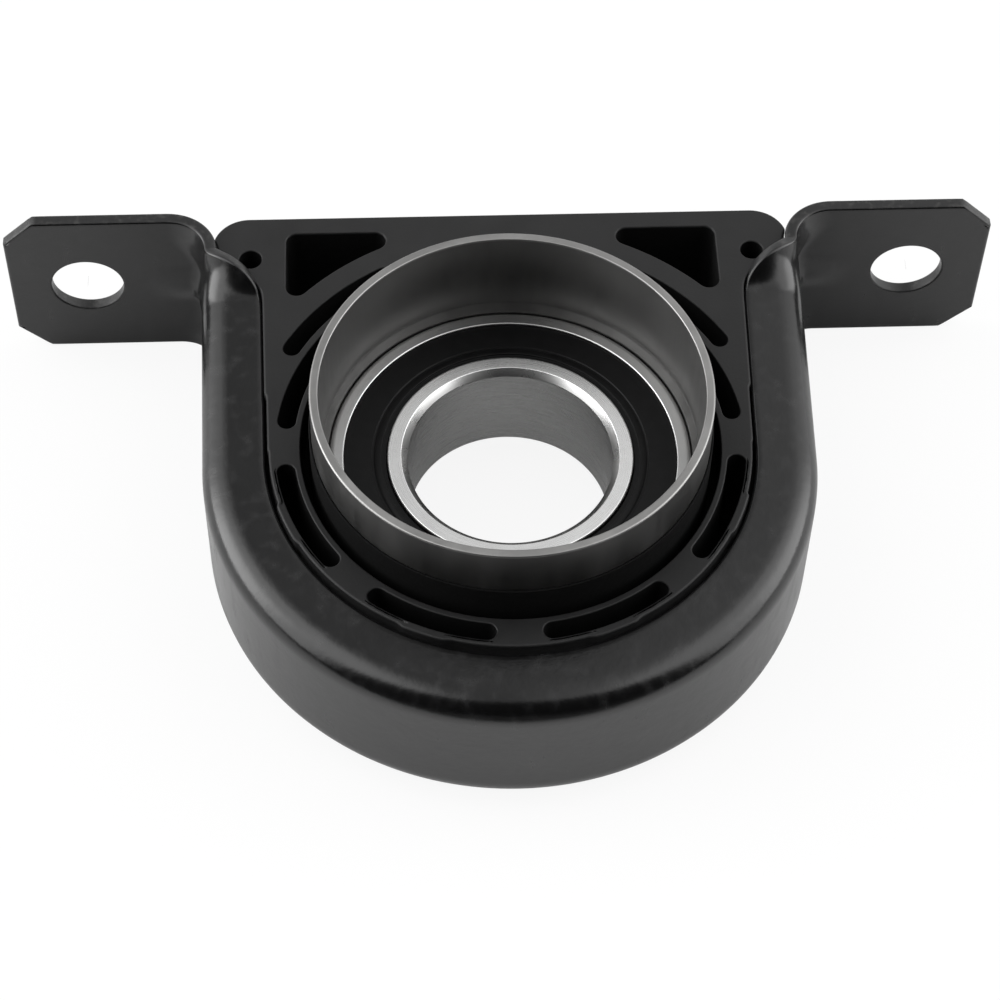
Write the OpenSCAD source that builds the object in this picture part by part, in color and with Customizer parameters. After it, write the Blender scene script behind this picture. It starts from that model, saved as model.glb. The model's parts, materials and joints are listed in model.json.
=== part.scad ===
// Driveshaft centre bearing: a sealed ball bearing in a rubber cushion, held by a U-shaped strap with two ears.
// The bearing axis is Z and the front is +Z. The ears point along X and their mounting face looks along +Y.
// The origin is the middle of the bearing, on its axis.

/* [Bearing] */
// Bore of the inner race, the shaft's size
bore_d = 35; // [25:0.5:45]
// Wall of the outer race behind its track, which with the ball circle gives an outside of 62
outer_wall = 2.761; // [2:0.001:4.5]
// Width of both races
bearing_w = 20; // [18:0.5:26]
// Diameter of a ball
ball_d = 7.938; // [7:0.01:8.6]
// Diameter of the circle the ball centres run on
pitch_d = 48.5; // [46:0.1:52]
// Rounding of the race corners, cut as a chamfer
race_chamfer = 1.1; // [0.6:0.1:1.6]
// Radial height of a race shoulder over the bottom of its track
shoulder_rise = 1.6; // [1:0.1:1.8]
// How far the land that a seal runs on lies below the inner race's shoulder
land_drop = 0.9; // [0.5:0.1:1.2]
// How much wider the track is than the ball
track_ratio = 1.04; // [1.02:0.01:1.08]
// Radial clearance of a ball in its tracks
ball_clearance = 0.02; // [0.01:0.01:0.05]

/* [Seals and cage] */
// Axial thickness of a seal
seal_t = 1.5; // [1:0.1:2.4]
// How far a seal's face lies behind the race faces
seal_recess = 0.45; // [0.2:0.05:1]
// Radial width of the thin running lip of a seal
seal_lip_w = 0.9; // [0.5:0.1:1.4]
// How far the lip lies behind the seal's face
seal_lip_drop = 0.3; // [0.1:0.05:0.6]
// Clearance between a seal's lip and the inner race
seal_clearance = 0.1; // [0.05:0.01:0.2]
// Height of the bead that snaps a seal into the outer race
seal_bead = 0.4; // [0.2:0.05:0.6]
// Radial width of the ledge in the outer race that a seal sits on
seal_ledge = 1.7; // [1:0.1:2]
// Sheet thickness of the cage halves
cage_t = 0.8; // [0.5:0.05:1]
// Radial width of the cage ribbon
cage_w = 3.2; // [2.4:0.1:3.4]
// Clearance of a ball in its pocket
pocket_clearance = 0.12; // [0.05:0.01:0.2]
// Diameter of a cage rivet's shank
rivet_d = 1.4; // [1:0.1:1.6]
// Diameter of a cage rivet's head
rivet_head_d = 2.2; // [1.8:0.1:2.4]

/* [Sleeve] */
// Wall of the sleeve
sleeve_wall = 1.5; // [1:0.1:2.5]
// How far the front skirt stands out in front of the bearing
skirt_front = 18.5; // [8:0.5:30]
// How much wider the skirts are than the bearing seat, in radius
skirt_step = 1.05; // [0.6:0.05:2]
// How far the rolled bead behind the bearing reaches inward
stop_rise = 1.8; // [1:0.1:2.4]
// Radial clearance of the bearing in its seat
press_clearance = 0.01; // [0:0.005:0.03]

/* [Bracket] */
// Distance between the two mounting holes
hole_spacing = 150; // [140:1:190]
// Diameter of a mounting hole
hole_d = 13; // [9:0.5:16]
// Sheet thickness of the strap
sheet_t = 2.3; // [1.6:0.1:3.2]
// Outside radius of the U
strap_r = 52.4; // [50:0.2:60]
// Angle at which the legs spread
leg_splay = 1.5; // [0:0.25:3]
// Height of the mounting face over the bearing axis
ear_height = 50.6; // [46:0.2:60]
// Length of an ear past the middle of its hole
ear_end = 14; // [11:0.5:20]
// Width of the ears along the bearing axis
ear_w = 34.5; // [30:0.5:40]
// Cut at the outer corners of the ears
ear_chamfer = 5.6; // [2:0.2:8]
// Width of the channel along the bearing axis
channel_w = 28; // [24:0.5:30]
// How far the middle of the strap lies behind the middle of the bearing
strap_back = 1.5; // [0:0.25:3]
// Outside rounding of the channel's shoulders
shoulder_r = 4.5; // [3.5:0.25:6]
// Depth of the curled edges, from the outside of the U
curl_depth = 10.8; // [8:0.2:12]
// Inside radius of the bend under an ear
ear_bend_r = 2.6; // [2:0.2:5]
// Inside radius of that bend at the edges of the sheet
edge_bend_r = 6; // [5:0.2:8]
// Length of leg over which the curled edges run out
runout = 22; // [14:0.5:24]
// Depth of the pressed gusset in the bend under an ear
gusset_depth = 1.5; // [0:0.1:1.8]
// Width of the gusset
gusset_w = 8; // [5:0.5:12]
// Reach of the gusset along the ear and along the leg
gusset_reach = 7; // [4:0.5:9]

/* [Cushion] */
// Gap between the cushion's top and the mounting face
top_gap = 0.1; // [0:0.1:2]
// Rounding of the cushion's top corners
top_corner_r = 6.5; // [3:0.5:9]
// How far the cushion's faces stand out from the channel
cushion_proud = 1.2; // [0.5:0.1:3]
// Gap between the cushion and the edges of the curled flanges
edge_gap = 0.4; // [0.3:0.1:1.5]
// Gap between the cushion and the inside of the strap
bond_gap = 0.02; // [0.01:0.01:0.1]
// Depth of the groove round the sleeve
groove_depth = 8; // [3:0.5:11]
// Width of the groove round the sleeve
groove_w = 2; // [1:0.1:3]
// Wall between the groove and the inner row of slots
ridge_w = 1.1; // [0.8:0.1:2]
// Width of a slot
slot_w = 3.1; // [2:0.1:3.6]
// Wall between the two rows of slots
row_wall = 1.3; // [0.8:0.1:2]
// Number of slots in a row
slot_count = 8; // [6:1:10]
// Angle covered by a slot of the inner row, between the middles of its round ends
slot_angle = 29; // [15:0.5:32]
// Angle covered by a slot of the outer row
outer_slot_angle = 31; // [15:0.5:34]
// Inner radius of the windows, round the bearing axis
window_r = 48.3; // [47:0.1:50]
// Distance from the middle to the outer side of a window
window_out = 38.2; // [34:0.5:42]
// Wall over a window
window_wall = 3.7; // [2:0.1:6]
// Rounding of a window's corners
window_corner_r = 1.9; // [0.8:0.1:2.4]
// Diameter of the blind holes
blind_d = 4; // [2:0.25:6]
// Depth of the blind holes
blind_depth = 7; // [2:0.5:10]
// Distance between the blind holes
blind_spacing = 89; // [80:0.5:90]
// Distance of the blind holes below the cushion's top
blind_drop = 9.4; // [6:0.2:12]

/* [Hidden] */
$fn = 96;
// a little more than nothing, for cuts that run past a face
over = 0.5;
// a hair by which a rounding is smaller than what it runs into, so that no two faces fall together
nip = 0.01;
ball_count = 11;
bore_r = bore_d / 2;
half_w = bearing_w / 2;
ball_r = ball_d / 2;
pitch_r = pitch_d / 2;
track_r = ball_r * track_ratio;
inner_track = pitch_r - ball_r - ball_clearance;
outer_track = pitch_r + ball_r + ball_clearance;
bearing_r = outer_track + outer_wall;
inner_shoulder = inner_track + shoulder_rise;
outer_shoulder = outer_track - shoulder_rise;
// the seal's ledge and the land it runs on
seal_seat = half_w - seal_recess - seal_t;
seal_face = half_w - seal_recess;
seal_out = outer_shoulder + seal_ledge;
land_r = inner_shoulder - land_drop;
edge_break = 0.25;
cage_shell = ball_r + pocket_clearance + cage_t;
rivet_head_t = 0.4;

seat_r = bearing_r + press_clearance;
skirt_r = seat_r + skirt_step;
skirt_out = skirt_r + sleeve_wall;
sleeve_front = half_w + skirt_front;
seat_out = seat_r + sleeve_wall;
// how long the step to a skirt and the rolled bead are for their height
step_slope = 1.4;
stop_slope = 0.8;
step_len = skirt_step * step_slope;
stop_z = -half_w - press_clearance;
stop_len = stop_rise * stop_slope;
stop_back = stop_z - stop_len - stop_rise - skirt_step;

strap_mid = -strap_back;
ear_out = hole_spacing / 2 + ear_end;
ear_under = ear_height - sheet_t;
sleeve_rear = strap_mid - ear_w / 2;
channel_half = channel_w / 2;
web_half = channel_half - shoulder_r;
ear_half = ear_w / 2;
// the legs leave the arc of the U at this point, square to its radius
leg_foot = [strap_r * cos(leg_splay), -strap_r * sin(leg_splay)];
leg_dir = [sin(leg_splay), cos(leg_splay)];
bend_centre_y = ear_under - ear_bend_r;
bend_y = bend_centre_y + ear_bend_r * sin(leg_splay);
leg_len = (bend_y - leg_foot[1]) / leg_dir[1];
bend_start = leg_foot + leg_len * leg_dir;
bend_centre = bend_start + ear_bend_r * [cos(leg_splay), -sin(leg_splay)];
bend_end = [bend_centre[0], ear_under];
// how far the wider bend at the edges starts before the bend of the web, and ends behind it
bend_spread = edge_bend_r - ear_bend_r;
bend_tangent = tan((90 - leg_splay) / 2);
ear_root = max(gusset_reach, bend_spread * bend_tangent + over);
flat_start = bend_end[0] + ear_root;
// lengths of the sheet from its middle line to its edge, along the channel and along the ear
channel_reach = web_half + shoulder_r * PI / 2 + curl_depth - shoulder_r;

cushion_r = strap_r - sheet_t - bond_gap;
cushion_half = channel_half - sheet_t;
cushion_face = channel_half + cushion_proud;
cushion_top = ear_height - top_gap;
groove_r = skirt_out + groove_w;
inner_slot_r = groove_r + ridge_w + slot_w / 2;
outer_slot_r = inner_slot_r + slot_w + row_wall;
flange_r = strap_r - curl_depth;
face_r = flange_r - edge_gap;

// Numbers the sheet's outline is sampled with
web_steps = 4;
curl_steps = 5;
flange_steps = 1;
// Curl down to which the samples follow the curl
least_curl = 45;

// One point of the half outline: way along the sheet, curl angle, which gives [inward, along Z] and the direction
function sheet_point(way, curl) =
    let (turn = min(curl, max(0, (way - web_half) / shoulder_r * 180 / PI)),
        flat = max(0, way - web_half - shoulder_r * curl * PI / 180))
    way <= web_half ? [0, way, 0]
    : [shoulder_r * (1 - cos(turn)) + flat * sin(curl), web_half + shoulder_r * sin(turn) + flat * cos(curl), turn];

// Ways along the half sheet at which it is sampled
function sheet_ways(reach, curl) =
    let (arc_end = min(reach, web_half + shoulder_r * max(curl, least_curl) * PI / 180))
    concat([for (i = [0:web_steps - 1]) web_half * i / web_steps],
        [for (i = [0:curl_steps - 1]) web_half + (arc_end - web_half) * i / curl_steps],
        [for (i = [0:flange_steps]) arc_end + (reach - arc_end) * i / flange_steps]);

// How far the gusset pushes the sheet out at a height over its middle line
function push(z, depth) = abs(z) < gusset_w / 2 ? depth * (1 + cos(360 * z / gusset_w)) / 2 : 0;

// Half outline of the sheet at one depth of its thickness
function half_sheet(reach, curl, deep, depth) =
    [for (way = sheet_ways(reach, curl)) let (p = sheet_point(way, curl))
        [p[0] + deep * cos(p[2]) - push(p[1], depth), p[1] - deep * sin(p[2])]];

function mirrored(points) = [for (i = [len(points) - 1:-1:1]) [points[i][0], -points[i][1]]];
function backwards(points) = [for (i = [len(points) - 1:-1:0]) points[i]];

// Closed outline of the sheet, outside face first, as [inward, along Z]
function sheet_outline(reach, curl, depth, inset = 0) =
    let (outer = half_sheet(reach - inset, curl, inset, depth),
        inner = half_sheet(reach - inset, curl, sheet_t - inset, depth))
    concat(mirrored(outer), outer, backwards(inner), backwards(mirrored(inner)));

// Curl that is left where the bend starts, and the share of the run-out in which the edges uncurl
bend_curl = 7;
uncurl_share = 0.46;
// How much faster than the curl the sheet widens, as a power
widen_power = 3;
// Share of the gusset's depth that it has on the flat of the leg and of the ear
gusset_flat = 0.7;
// Smooth step from 0 to 1
function ease(x) = let (c = min(1, max(0, x))) c * c * (3 - 2 * c);

// Share in which a point of the sheet follows the wider bend of the edges, by its height over the middle line
function edge_share(z) = ease((abs(z) - gusset_w / 2) / (channel_half - gusset_w / 2));

// A station of the leg, bend and ear:
// [place, heading from Y towards X, reach, curl, gusset depth, inset, slide of the edges into their wider bend]
function leg_station(way, inset = 0) =
    let (left = leg_len - way, out = ease(1 - left / runout))
    [leg_foot + way * leg_dir, leg_splay, channel_reach + (ear_half - channel_reach) * pow(out, widen_power),
        90 - (90 - bend_curl) * ease(1 - left / (runout * uncurl_share)),
        gusset_depth * ease(1 - left / gusset_reach) * gusset_flat, inset,
        -bend_spread * bend_tangent * max(0, 1 - left / runout) * leg_dir];
function bend_station(part) =
    let (heading = leg_splay + (90 - leg_splay) * part)
    [bend_centre + ear_bend_r * [-cos(heading), sin(heading)], heading, ear_half, bend_curl * (1 - ease(part)),
        gusset_depth * (gusset_flat + (1 - gusset_flat) * sin(180 * part)), 0,
        bend_spread * [bend_tangent - cos(heading), sin(heading) - 1]];
function ear_station(way, inset = 0) =
    [bend_end + [way, 0], 90, ear_half, 0, gusset_depth * ease(1 - way / gusset_reach) * gusset_flat, inset,
        [bend_spread * bend_tangent * max(0, 1 - way / ear_root), 0]];

runout_steps = 11;
bend_steps = 7;
ear_steps = 4;
// the leg laps into the arc and into the ear plate by this much, a hair thinner than they are
lap = 0.3;
STATIONS = concat(
    [leg_station(-lap, 2 * nip), leg_station(lap)],
    [for (i = [0:runout_steps - 1]) leg_station(leg_len - runout + runout * i / runout_steps)],
    [for (i = [0:bend_steps]) bend_station(i / bend_steps)],
    [for (i = [1:ear_steps]) ear_station((ear_root - lap) * i / ear_steps)],
    [ear_station(ear_root + lap, 2 * nip)]);

// Place of an outline's point [inward, along Z] in the plane of the U, with a margin further inward
function station_place(s, p, margin = 0) =
    s[0] + edge_share(p[1]) * s[6] + (p[0] + margin) * [-cos(s[1]), sin(s[1])];

// Points of one station in space
function station_points(s) =
    [for (p = sheet_outline(s[2], s[3], s[4], s[5])) let (q = station_place(s, p)) [q[0], q[1], strap_mid + p[1]]];

// The solid that runs through all stations
module leg_and_bend() {
    rings = [for (s = STATIONS) station_points(s)];
    n = len(rings[0]);
    m = len(rings);
    half = n / 2;
    points = [for (ring = rings) for (p = ring) p];
    sides = [for (i = [0:m - 2]) for (j = [0:n - 1]) let (k = (j + 1) % n, a = i * n, b = a + n)
        for (f = [[a + j, a + k, b + k], [a + j, b + k, b + j]]) f];
    // each end is a strip between the outside and the inside of the sheet
    ends = [for (j = [0:half - 2]) for (f = [[j, n - 1 - j, n - 2 - j], [j, n - 2 - j, j + 1]]) f];
    last = (m - 1) * n;
    caps = concat(ends, [for (f = ends) [last + f[2], last + f[1], last + f[0]]]);
    polyhedron(points = points, faces = [for (f = concat(sides, caps)) f], convexity = 10);
}

// Flat end of an ear with its corners cut
module ear_plate() {
    translate([0, ear_height, strap_mid]) rotate([90, 0, 0])
        linear_extrude(sheet_t)
            polygon([[flat_start, -ear_half], [ear_out - ear_chamfer, -ear_half], [ear_out, -ear_half + ear_chamfer],
                [ear_out, ear_half - ear_chamfer], [ear_out - ear_chamfer, ear_half], [flat_start, ear_half]]);
}

module bracket() {
    color([0.12, 0.12, 0.13])
        difference() {
            union() {
                rotate([0, 0, 180 + leg_splay]) rotate_extrude(angle = 180 - 2 * leg_splay)
                    polygon([for (p = sheet_outline(channel_reach, 90, 0)) [strap_r - p[0], strap_mid + p[1]]]);
                for (side = [0, 1]) mirror([side, 0, 0]) {
                    leg_and_bend();
                    ear_plate();
                }
            }
            for (side = [-1, 1])
                translate([side * hole_spacing / 2, ear_height + over, strap_mid]) rotate([90, 0, 0])
                    cylinder(d = hole_d, h = sheet_t + 2 * over);
        }
}

// Outline of the cushion inside the strap, at a margin from the strap's inside
function cushion_corner(margin) =
    let (r = top_corner_r - margin, y = cushion_top - top_corner_r)
    [(cushion_r - margin - r + sin(leg_splay) * y) / cos(leg_splay), y];

// Block between two heights over the strap's middle, with the cushion's outline
module cushion_block(low, high, margin) {
    r = cushion_r - margin;
    corner_r = top_corner_r - margin;
    c = cushion_corner(margin);
    out = [cos(leg_splay), -sin(leg_splay)];
    half = [r * out, c + corner_r * out, c, [c[0], c[1] + corner_r]];
    translate([0, 0, low]) {
        cylinder(r = r - nip, h = high - low);
        linear_extrude(high - low)
            polygon(concat(half, [for (i = [len(half) - 1:-1:0]) [-half[i][0], half[i][1]]]));
        for (side = [-1, 1]) translate([side * c[0], c[1], 0]) cylinder(r = corner_r - nip, h = high - low);
    }
}

// Point of a station's outline that lies deepest inside the strap
function deepest(s) =
    let (outline = sheet_outline(s[2], s[3], s[4]), depth = max([for (p = outline) p[0]]))
    [for (p = outline) if (p[0] == depth) p][0];

// Line along a curled edge, from the foot of the leg through the bend, at the edge gap from the sheet
function edge_line() =
    [for (s = concat([leg_station(0)],
            [for (i = [0:runout_steps - 1]) leg_station(leg_len - runout + runout * i / runout_steps)],
            [for (i = [0:bend_steps - 1]) bend_station(i / bend_steps)]))
        station_place(s, deepest(s), edge_gap)];

// The part of the cushion that shows between the curled edges
module cushion_face_block() {
    line = [for (p = edge_line()) if (p[1] < cushion_top) p];
    top = [line[len(line) - 1][0], cushion_top + over];
    half = concat(line, [top]);
    cylinder(r = face_r - nip, h = cushion_face);
    intersection() {
        cushion_block(0, cushion_face, 0);
        linear_extrude(cushion_face)
            polygon(concat(half, [for (i = [len(half) - 1:-1:0]) [-half[i][0], half[i][1]]]));
    }
}

// Curved slot with round ends
module arc_slot(r, middle, angle) {
    rotate([0, 0, middle - angle / 2]) {
        rotate_extrude(angle = angle) translate([r - slot_w / 2, -cushion_face - over])
            square([slot_w, 2 * (cushion_face + over)]);
        for (end = [0, angle]) rotate([0, 0, end]) translate([r, 0, -cushion_face - over])
            cylinder(d = slot_w - 2 * nip, h = 2 * (cushion_face + over), $fn = 32);
    }
}

// Three-cornered window whose long side runs round the bearing axis
module window() {
    rc = window_corner_r;
    top = cushion_top - window_wall;
    reach = window_r + rc;
    inside = (window_r - over) / reach;
    a = [window_out - rc, top - rc];
    b = [sqrt(reach * reach - a[1] * a[1]), a[1]];
    c = [a[0], sqrt(reach * reach - a[0] * a[0])];
    h = 2 * (cushion_face + over);
    translate([0, 0, -h / 2]) difference() {
        union() {
            linear_extrude(h) polygon([b, [b[0], top], [a[0], top], a, [window_out, a[1]], [window_out, c[1]], c,
                c * inside, b * inside]);
            for (p = [a, b, c]) translate(p) cylinder(r = rc - nip, h = h, $fn = 32);
        }
        translate([0, 0, -over]) cylinder(r = window_r, h = h + 2 * over);
    }
}

module rubber_cushion() {
    relief = shoulder_r - sheet_t;
    color([0.05, 0.05, 0.055])
        translate([0, 0, strap_mid]) difference() {
            union() {
                cushion_block(-cushion_half + relief, cushion_half - relief, 0);
                cushion_block(-cushion_half, cushion_half, relief);
                for (side = [0, 1]) mirror([0, 0, side]) cushion_face_block();
            }
            translate([0, 0, -cushion_face - over]) cylinder(r = seat_out, h = 2 * (cushion_face + over));
            for (side = [0, 1]) mirror([0, 0, side]) {
                translate([0, 0, cushion_face - groove_depth]) cylinder(r = groove_r, h = groove_depth + over);
                for (x = [-1, 1])
                    translate([x * blind_spacing / 2, cushion_top - blind_drop, cushion_face - blind_depth])
                        cylinder(d = blind_d, h = blind_depth + over, $fn = 32);
            }
            for (i = [0:slot_count - 1]) {
                arc_slot(inner_slot_r, 270 + (i + 0.5) * 360 / slot_count, slot_angle);
                arc_slot(outer_slot_r, 270 + i * 360 / slot_count, outer_slot_angle);
            }
            for (side = [0, 1]) mirror([side, 0, 0]) window();
        }
}

module bearing_sleeve() {
    mouth = half_w + step_len;
    color([0.36, 0.36, 0.37])
        rotate_extrude()
            polygon([[skirt_r + edge_break, sleeve_front], [skirt_r, sleeve_front - edge_break], [skirt_r, mouth],
                [seat_r, half_w], [seat_r, stop_z], [seat_r - stop_rise, stop_z],
                [seat_r - stop_rise, stop_z - stop_len], [skirt_r, stop_back], [skirt_r, sleeve_rear],
                [skirt_out, sleeve_rear], [skirt_out, stop_back], [seat_out - stop_rise / 2, stop_z - stop_len],
                [seat_out, stop_z + stop_len], [seat_out, half_w], [skirt_out, mouth],
                [skirt_out, sleeve_front - edge_break], [skirt_out - edge_break, sleeve_front]]);
}

// Half of a race's outline for +Z, joined with its mirror image for -Z
function both_ends(half) = concat(half, [for (i = [len(half) - 1:-1:0]) [half[i][0], -half[i][1]]]);

module outer_race() {
    snap = seal_seat + seal_t / 2;
    color([0.62, 0.62, 0.63])
        difference() {
            rotate_extrude()
                polygon(both_ends([[bearing_r, half_w - race_chamfer], [bearing_r - race_chamfer, half_w],
                    [seal_out + edge_break, half_w], [seal_out, half_w - edge_break], [seal_out, snap + seal_bead],
                    [seal_out + seal_bead, snap], [seal_out + seal_bead, seal_seat], [outer_shoulder, seal_seat]]));
            rotate_extrude() translate([outer_track - track_r, 0]) circle(r = track_r);
        }
}

module inner_race() {
    step = seal_seat - seal_lip_drop;
    color([0.7, 0.7, 0.71])
        difference() {
            rotate_extrude()
                polygon(both_ends([[bore_r, half_w - race_chamfer], [bore_r + race_chamfer, half_w],
                    [land_r - edge_break, half_w], [land_r, half_w - edge_break], [land_r, step],
                    [inner_shoulder, step]]));
            rotate_extrude() translate([inner_track + track_r, 0]) circle(r = track_r);
        }
}

module seal() {
    snap = seal_seat + seal_t / 2;
    in = land_r + seal_clearance;
    out = seal_out - press_clearance;
    color([0.08, 0.08, 0.085])
        rotate_extrude()
            polygon([[in, seal_seat], [out + seal_bead, seal_seat], [out + seal_bead, snap - press_clearance],
                [out, snap + seal_bead - press_clearance], [out, seal_face], [in + seal_lip_w, seal_face],
                [in + seal_lip_w, seal_face - seal_lip_drop], [in, seal_face - seal_lip_drop]]);
}

module seal_front() { seal(); }
module seal_rear() { mirror([0, 0, 1]) seal(); }

module at_ball(i) { rotate([0, 0, i * 360 / ball_count]) translate([pitch_r, 0, 0]) children(); }
module at_rivet(i) { at_ball(i + 0.5) children(); }

// Arched pocket over a ball: half a tube along the radius
module pocket(i) {
    at_ball(i) translate([-cage_w / 2, 0, 0]) rotate([90, 0, 90])
        rotate_extrude(angle = 180) translate([ball_r + pocket_clearance, 0]) square([cage_t, cage_w]);
}

// Flat of the ribbon between two pockets, with its rivet hole; it ends inside the feet of the pockets
module ribbon_flat(i) {
    foot = asin((cage_shell - cage_t / 2) / pitch_r);
    angle = 360 / ball_count - 2 * foot;
    difference() {
        rotate([0, 0, i * 360 / ball_count + foot]) rotate_extrude(angle = angle)
            translate([pitch_r - cage_w / 2, 0]) square([cage_w, cage_t]);
        at_rivet(i) translate([0, 0, -over])
            cylinder(d = rivet_d + 2 * press_clearance, h = cage_t + 2 * over, $fn = 24);
    }
}

// Half of the cage: a ribbon that arches over each ball
module cage_half() {
    for (i = [0:ball_count - 1]) {
        pocket(i);
        ribbon_flat(i);
    }
}

module cage_front() { color([0.6, 0.58, 0.52]) cage_half(); }
module cage_rear() { color([0.6, 0.58, 0.52]) mirror([0, 0, 1]) cage_half(); }

module ball(i) { color([0.8, 0.8, 0.82]) at_ball(i) sphere(d = ball_d); }

module rivet(i) {
    color([0.55, 0.55, 0.56]) at_rivet(i) {
        translate([0, 0, -cage_t - rivet_head_t]) cylinder(d = rivet_head_d, h = rivet_head_t, $fn = 24);
        translate([0, 0, -cage_t - over / 2]) cylinder(d = rivet_d, h = 2 * cage_t + over, $fn = 24);
        translate([0, 0, cage_t]) cylinder(d = rivet_head_d, h = rivet_head_t, $fn = 24);
    }
}

bracket();
rubber_cushion();
bearing_sleeve();
outer_race();
inner_race();
seal_front();
seal_rear();
cage_front();
cage_rear();
ball(0);  // ball_01
ball(1);  // ball_02
ball(2);  // ball_03
ball(3);  // ball_04
ball(4);  // ball_05
ball(5);  // ball_06
ball(6);  // ball_07
ball(7);  // ball_08
ball(8);  // ball_09
ball(9);  // ball_10
ball(10);  // ball_11
rivet(0);  // rivet_01
rivet(1);  // rivet_02
rivet(2);  // rivet_03
rivet(3);  // rivet_04
rivet(4);  // rivet_05
rivet(5);  // rivet_06
rivet(6);  // rivet_07
rivet(7);  // rivet_08
rivet(8);  // rivet_09
rivet(9);  // rivet_10
rivet(10);  // rivet_11
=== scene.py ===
# %% [markdown]
# # A driveshaft centre bearing
# This part holds up the middle of a long driveshaft. A ball bearing sits in a steel sleeve, the
# sleeve sits in a slotted rubber cushion, and a pressed steel strap with two ears bolts the
# cushion under the floor of a car. The CAD model already has every solid in its place. This
# lesson dresses it: the big pieces are made again with soft edges, and every surface gets a
# finish with grain, wear and gloss.

# %% Load the packed model
import json
import math

import bmesh
import bpy
from mathutils import Matrix, Vector


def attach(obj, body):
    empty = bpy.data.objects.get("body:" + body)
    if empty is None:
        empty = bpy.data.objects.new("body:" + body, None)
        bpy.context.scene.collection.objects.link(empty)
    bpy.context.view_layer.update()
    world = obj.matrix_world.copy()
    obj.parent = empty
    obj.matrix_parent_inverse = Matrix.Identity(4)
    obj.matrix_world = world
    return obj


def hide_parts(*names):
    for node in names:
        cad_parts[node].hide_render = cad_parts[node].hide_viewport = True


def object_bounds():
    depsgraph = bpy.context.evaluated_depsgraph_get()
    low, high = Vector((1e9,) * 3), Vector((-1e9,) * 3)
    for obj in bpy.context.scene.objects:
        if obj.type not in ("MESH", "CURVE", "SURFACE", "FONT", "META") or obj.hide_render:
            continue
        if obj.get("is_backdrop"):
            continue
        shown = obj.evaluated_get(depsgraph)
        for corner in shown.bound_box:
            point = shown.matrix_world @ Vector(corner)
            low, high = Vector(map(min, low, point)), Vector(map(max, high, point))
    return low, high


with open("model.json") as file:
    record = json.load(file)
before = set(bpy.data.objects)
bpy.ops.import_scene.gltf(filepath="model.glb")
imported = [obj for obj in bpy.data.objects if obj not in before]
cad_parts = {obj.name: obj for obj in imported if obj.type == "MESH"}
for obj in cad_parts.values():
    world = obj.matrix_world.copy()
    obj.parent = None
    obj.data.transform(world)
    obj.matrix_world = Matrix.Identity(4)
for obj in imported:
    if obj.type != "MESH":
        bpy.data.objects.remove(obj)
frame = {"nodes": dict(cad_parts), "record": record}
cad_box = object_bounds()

MM = 0.001
scene = bpy.context.scene
scene.view_settings.view_transform = "Standard"

# %% [markdown]
# ## The camera
# The photograph looks down at the part from the front, a little off its middle. The four numbers
# of a camera on an arm, which are height, swing, roll and distance, were fitted to the holes and
# rings of the real part. A long lens keeps the perspective calm, and a small shift puts the
# picture's middle where the photograph has it.

# %% Place the camera
TARGET = Vector((0, 0, 10 * MM))
HEIGHT, SWING, ROLL = (math.radians(a) for a in (54.04, -3.53, 1.58))
ARM = 488.2 * MM
LENS_IN_WIDTHS = 2.870
SENSOR = 36
MIDDLE = (0.5105, 0.4541)
NEAREST, FARTHEST = 10 * MM, 10

back = Vector((math.sin(SWING) * math.cos(HEIGHT), -math.cos(SWING) * math.cos(HEIGHT),
               math.sin(HEIGHT)))
level = Vector((math.cos(SWING), math.sin(SWING), 0))
upright = back.cross(level)
across = math.cos(ROLL) * level + math.sin(ROLL) * upright
upward = math.cos(ROLL) * upright - math.sin(ROLL) * level

lens = bpy.data.cameras.new("photo_camera")
lens.sensor_width = SENSOR
lens.lens = LENS_IN_WIDTHS * SENSOR
lens.shift_x, lens.shift_y = 0.5 - MIDDLE[0], MIDDLE[1] - 0.5
lens.clip_start, lens.clip_end = NEAREST, FARTHEST
camera = bpy.data.objects.new("photo_camera", lens)
aim = Matrix((across, upward, back)).transposed().to_4x4()
camera.matrix_world = Matrix.Translation(TARGET + back * ARM) @ aim
scene.collection.objects.link(camera)
scene.camera = camera
print("camera at", [round(x / MM) for x in camera.matrix_world.translation], "mm")

# %% [markdown]
# ## Sums that become nodes
# Both materials and Geometry Nodes are graphs of small boxes. Drawing dozens of Math boxes by
# hand hides the formula, so one small class wraps a socket. A plus or a times between two of them
# adds the box and the links, and the formula stays readable as a line of Python.

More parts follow.
